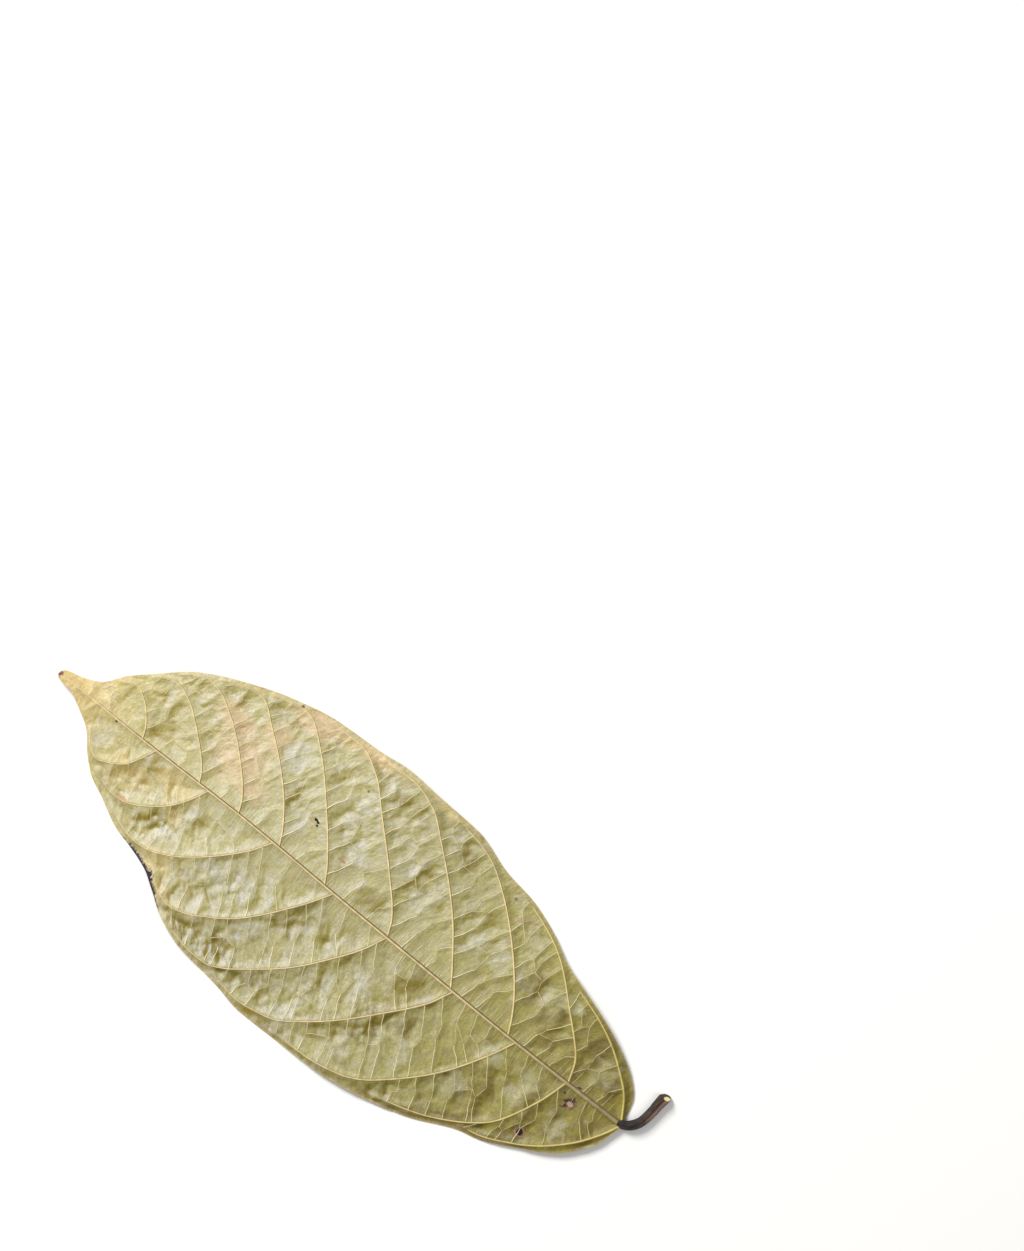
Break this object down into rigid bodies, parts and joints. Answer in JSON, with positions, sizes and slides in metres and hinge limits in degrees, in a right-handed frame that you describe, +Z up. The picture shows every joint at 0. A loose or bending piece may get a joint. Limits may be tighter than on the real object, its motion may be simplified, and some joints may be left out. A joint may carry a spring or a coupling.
{
  "type": "dried cocoa leaf",
  "caption": "Single dried cocoa leaf lying underside up: a thin, gently arched and puckered pointed blade with raised midrib, side veins and rung-like net, and a short bent stalk.",
  "frame": {"origin": "middle of the leaf's box in plan, on the surface that the leaf lies on", "axes": "+Y along the midrib from stalk to tip, +Z up out of the veined underside, +X to the right-hand half seen from above with the tip away from the viewer"},
  "size_m": [0.0844, 0.2124, 0.0064],
  "materials": {
    "leaf_blade": "satin",
    "leaf_veins": "matte",
    "leaf_stalk": "matte"
  },
  "bodies": {
    "root": {"cocoa_leaf": "leaf_blade"}
  },
  "joints": []
}
